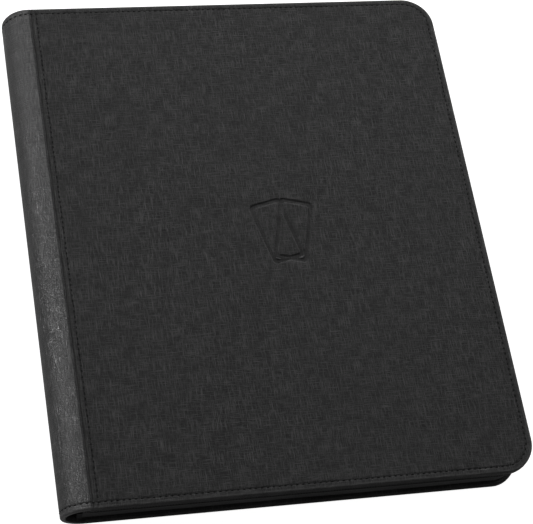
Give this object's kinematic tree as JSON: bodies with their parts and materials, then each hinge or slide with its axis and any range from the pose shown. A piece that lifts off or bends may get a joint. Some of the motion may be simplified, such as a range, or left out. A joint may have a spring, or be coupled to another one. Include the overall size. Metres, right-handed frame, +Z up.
{
  "type": "trading card binder",
  "caption": "Zip-around trading card binder with padded imitation-leather covers, a soft rounded spine, sewn-in pocket pages and a sliding zipper on three sides.",
  "frame": {"origin": "middle of the closed binder's footprint, on the surface that it lies on", "axes": "+X from the spine to the fore edge, +Y from the tail to the head, +Z up from the back cover to the front cover"},
  "size_m": [0.286, 0.34, 0.032],
  "materials": {
    "leather": "fine crosshatch grain, satin",
    "lining": "woven",
    "thread": "twisted thread",
    "board": "matte",
    "foam": "matte",
    "zip_tape": "woven",
    "zip_chain": "satin coil",
    "binding_cloth": "woven",
    "pocket_page": "clear pockets over a black core",
    "slider_metal": "black enamel"
  },
  "bodies": {
    "back_cover": {"back_cover_leather": "leather", "back_cover_foam": "foam", "back_cover_board": "board", "back_cover_lining": "lining", "back_cover_thread": "thread", "back_hinge_thread": "thread", "zipper_tape_back": "zip_tape", "zipper_chain_back": "zip_chain", "zipper_head_stop_back": "slider_metal", "zipper_tail_box": "slider_metal", "zipper_end_tab_head": "zip_tape", "zipper_end_tab_tail": "zip_tape"},
    "front_cover": {"front_cover_leather": "leather", "front_cover_foam": "foam", "front_cover_board": "board", "front_cover_lining": "lining", "front_cover_thread": "thread", "front_hinge_thread": "thread", "zipper_tape_front": "zip_tape", "zipper_chain_front": "zip_chain", "zipper_head_stop_front": "slider_metal"},
    "spine_1": {"spine_stave_1": "board"},
    "spine_2": {"spine_stave_2": "board"},
    "spine_3": {"spine_stave_3": "board", "spine_leather": "leather", "spine_foam": "foam", "spine_lining": "lining", "page_binding_strip": "binding_cloth"},
    "spine_4": {"spine_stave_4": "board"},
    "spine_5": {"spine_stave_5": "board"},
    "page_01": {"page_01": "pocket_page"},
    "page_02": {"page_02": "pocket_page"},
    "page_03": {"page_03": "pocket_page"},
    "page_04": {"page_04": "pocket_page"},
    "page_05": {"page_05": "pocket_page"},
    "page_06": {"page_06": "pocket_page"},
    "page_07": {"page_07": "pocket_page"},
    "page_08": {"page_08": "pocket_page"},
    "page_09": {"page_09": "pocket_page"},
    "page_10": {"page_10": "pocket_page"},
    "page_11": {"page_11": "pocket_page"},
    "page_12": {"page_12": "pocket_page"},
    "page_13": {"page_13": "pocket_page"},
    "page_14": {"page_14": "pocket_page"},
    "page_15": {"page_15": "pocket_page"},
    "page_16": {"page_16": "pocket_page"},
    "page_17": {"page_17": "pocket_page"},
    "page_18": {"page_18": "pocket_page"},
    "page_19": {"page_19": "pocket_page"},
    "page_20": {"page_20": "pocket_page"},
    "zipper_slider": {"zipper_slider": "slider_metal", "zipper_pull_pin": "slider_metal"},
    "zipper_pull": {"zipper_pull_tab": "slider_metal"}
  },
  "joints": [
    {"name": "spine_hinge_back", "type": "hinge", "parent": "back_cover", "child": "spine_3", "pos_m": [-0.13796, 0, 0.00432], "axis": [0, -1, 0], "range_deg": [0, 90], "deforming": ["spine_leather", "spine_foam", "spine_lining"]},
    {"name": "spine_hinge_2", "type": "hinge", "parent": "spine_3", "child": "spine_2", "pos_m": [-0.14093, 0, 0.01147], "axis": [0, -1, 0], "range_deg": [-36, 0]},
    {"name": "spine_hinge_1", "type": "hinge", "parent": "spine_2", "child": "spine_1", "pos_m": [-0.13561, 0, 0.00415], "axis": [0, -1, 0], "range_deg": [-36, 0]},
    {"name": "spine_hinge_4", "type": "hinge", "parent": "spine_3", "child": "spine_4", "pos_m": [-0.14093, 0, 0.02053], "axis": [0, -1, 0], "range_deg": [0, 36]},
    {"name": "spine_hinge_5", "type": "hinge", "parent": "spine_4", "child": "spine_5", "pos_m": [-0.13561, 0, 0.02785], "axis": [0, -1, 0], "range_deg": [0, 36]},
    {"name": "front_cover_hinge", "type": "hinge", "parent": "spine_3", "child": "front_cover", "pos_m": [-0.13796, 0, 0.02768], "axis": [0, -1, 0], "range_deg": [0, 90]},
    {"name": "page_01_turn", "type": "hinge", "parent": "spine_3", "child": "page_01", "pos_m": [-0.13225, 0, 0.02664], "axis": [0, -1, 0], "range_deg": [0, 91.15]},
    {"name": "page_02_turn", "type": "hinge", "parent": "spine_3", "child": "page_02", "pos_m": [-0.13113, 0, 0.02552], "axis": [0, -1, 0], "range_deg": [0, 90.8]},
    {"name": "page_03_turn", "type": "hinge", "parent": "spine_3", "child": "page_03", "pos_m": [-0.13001, 0, 0.0244], "axis": [0, -1, 0], "range_deg": [0, 90.45]},
    {"name": "page_04_turn", "type": "hinge", "parent": "spine_3", "child": "page_04", "pos_m": [-0.12889, 0, 0.02328], "axis": [0, -1, 0], "range_deg": [0, 90.1]},
    {"name": "page_05_turn", "type": "hinge", "parent": "spine_3", "child": "page_05", "pos_m": [-0.12777, 0, 0.02216], "axis": [0, -1, 0], "range_deg": [0, 89.75]},
    {"name": "page_06_turn", "type": "hinge", "parent": "spine_3", "child": "page_06", "pos_m": [-0.12665, 0, 0.02104], "axis": [0, -1, 0], "range_deg": [0, 89.4]},
    {"name": "page_07_turn", "type": "hinge", "parent": "spine_3", "child": "page_07", "pos_m": [-0.12553, 0, 0.01992], "axis": [0, -1, 0], "range_deg": [0, 89.05]},
    {"name": "page_08_turn", "type": "hinge", "parent": "spine_3", "child": "page_08", "pos_m": [-0.12441, 0, 0.0188], "axis": [0, -1, 0], "range_deg": [0, 88.7]},
    {"name": "page_09_turn", "type": "hinge", "parent": "spine_3", "child": "page_09", "pos_m": [-0.12329, 0, 0.01768], "axis": [0, -1, 0], "range_deg": [0, 88.35]},
    {"name": "page_10_turn", "type": "hinge", "parent": "spine_3", "child": "page_10", "pos_m": [-0.12217, 0, 0.01656], "axis": [0, -1, 0], "range_deg": [0, 88]},
    {"name": "page_11_turn", "type": "hinge", "parent": "spine_3", "child": "page_11", "pos_m": [-0.12217, 0, 0.01544], "axis": [0, -1, 0], "range_deg": [-88, 0]},
    {"name": "page_12_turn", "type": "hinge", "parent": "spine_3", "child": "page_12", "pos_m": [-0.12329, 0, 0.01432], "axis": [0, -1, 0], "range_deg": [-88.35, 0]},
    {"name": "page_13_turn", "type": "hinge", "parent": "spine_3", "child": "page_13", "pos_m": [-0.12441, 0, 0.0132], "axis": [0, -1, 0], "range_deg": [-88.7, 0]},
    {"name": "page_14_turn", "type": "hinge", "parent": "spine_3", "child": "page_14", "pos_m": [-0.12553, 0, 0.01208], "axis": [0, -1, 0], "range_deg": [-89.05, 0]},
    {"name": "page_15_turn", "type": "hinge", "parent": "spine_3", "child": "page_15", "pos_m": [-0.12665, 0, 0.01096], "axis": [0, -1, 0], "range_deg": [-89.4, 0]},
    {"name": "page_16_turn", "type": "hinge", "parent": "spine_3", "child": "page_16", "pos_m": [-0.12777, 0, 0.00984], "axis": [0, -1, 0], "range_deg": [-89.75, 0]},
    {"name": "page_17_turn", "type": "hinge", "parent": "spine_3", "child": "page_17", "pos_m": [-0.12889, 0, 0.00872], "axis": [0, -1, 0], "range_deg": [-90.1, 0]},
    {"name": "page_18_turn", "type": "hinge", "parent": "spine_3", "child": "page_18", "pos_m": [-0.13001, 0, 0.0076], "axis": [0, -1, 0], "range_deg": [-90.45, 0]},
    {"name": "page_19_turn", "type": "hinge", "parent": "spine_3", "child": "page_19", "pos_m": [-0.13113, 0, 0.00648], "axis": [0, -1, 0], "range_deg": [-90.8, 0]},
    {"name": "page_20_turn", "type": "hinge", "parent": "spine_3", "child": "page_20", "pos_m": [-0.13225, 0, 0.00536], "axis": [0, -1, 0], "range_deg": [-91.15, 0]},
    {"name": "zipper_slide", "type": "slide", "parent": "back_cover", "child": "zipper_slider", "axis": [1, 0, 0], "range_m": [0, 0.228]},
    {"name": "pull_tab_hinge", "type": "hinge", "parent": "zipper_slider", "child": "zipper_pull", "pos_m": [-0.1175, 0.16785, 0.016], "axis": [0, 0, -1], "range_deg": [0, 170]}
  ],
  "couplings": [
    {"joint": "spine_hinge_2", "follows": "spine_hinge_back", "ratio": -0.4},
    {"joint": "spine_hinge_1", "follows": "spine_hinge_back", "ratio": -0.4},
    {"joint": "spine_hinge_4", "follows": "spine_hinge_back", "ratio": 0.4},
    {"joint": "spine_hinge_5", "follows": "spine_hinge_back", "ratio": 0.4},
    {"joint": "front_cover_hinge", "follows": "spine_hinge_back", "ratio": 1},
    {"joint": "page_01_turn", "follows": "spine_hinge_back", "ratio": 1.0128},
    {"joint": "page_02_turn", "follows": "spine_hinge_back", "ratio": 1.0089},
    {"joint": "page_03_turn", "follows": "spine_hinge_back", "ratio": 1.005},
    {"joint": "page_04_turn", "follows": "spine_hinge_back", "ratio": 1.0011},
    {"joint": "page_05_turn", "follows": "spine_hinge_back", "ratio": 0.9972},
    {"joint": "page_06_turn", "follows": "spine_hinge_back", "ratio": 0.9933},
    {"joint": "page_07_turn", "follows": "spine_hinge_back", "ratio": 0.9894},
    {"joint": "page_08_turn", "follows": "spine_hinge_back", "ratio": 0.9856},
    {"joint": "page_09_turn", "follows": "spine_hinge_back", "ratio": 0.9817},
    {"joint": "page_10_turn", "follows": "spine_hinge_back", "ratio": 0.9778},
    {"joint": "page_11_turn", "follows": "spine_hinge_back", "ratio": -0.9778},
    {"joint": "page_12_turn", "follows": "spine_hinge_back", "ratio": -0.9817},
    {"joint": "page_13_turn", "follows": "spine_hinge_back", "ratio": -0.9856},
    {"joint": "page_14_turn", "follows": "spine_hinge_back", "ratio": -0.9894},
    {"joint": "page_15_turn", "follows": "spine_hinge_back", "ratio": -0.9933},
    {"joint": "page_16_turn", "follows": "spine_hinge_back", "ratio": -0.9972},
    {"joint": "page_17_turn", "follows": "spine_hinge_back", "ratio": -1.0011},
    {"joint": "page_18_turn", "follows": "spine_hinge_back", "ratio": -1.005},
    {"joint": "page_19_turn", "follows": "spine_hinge_back", "ratio": -1.0089},
    {"joint": "page_20_turn", "follows": "spine_hinge_back", "ratio": -1.0128}
  ]
}
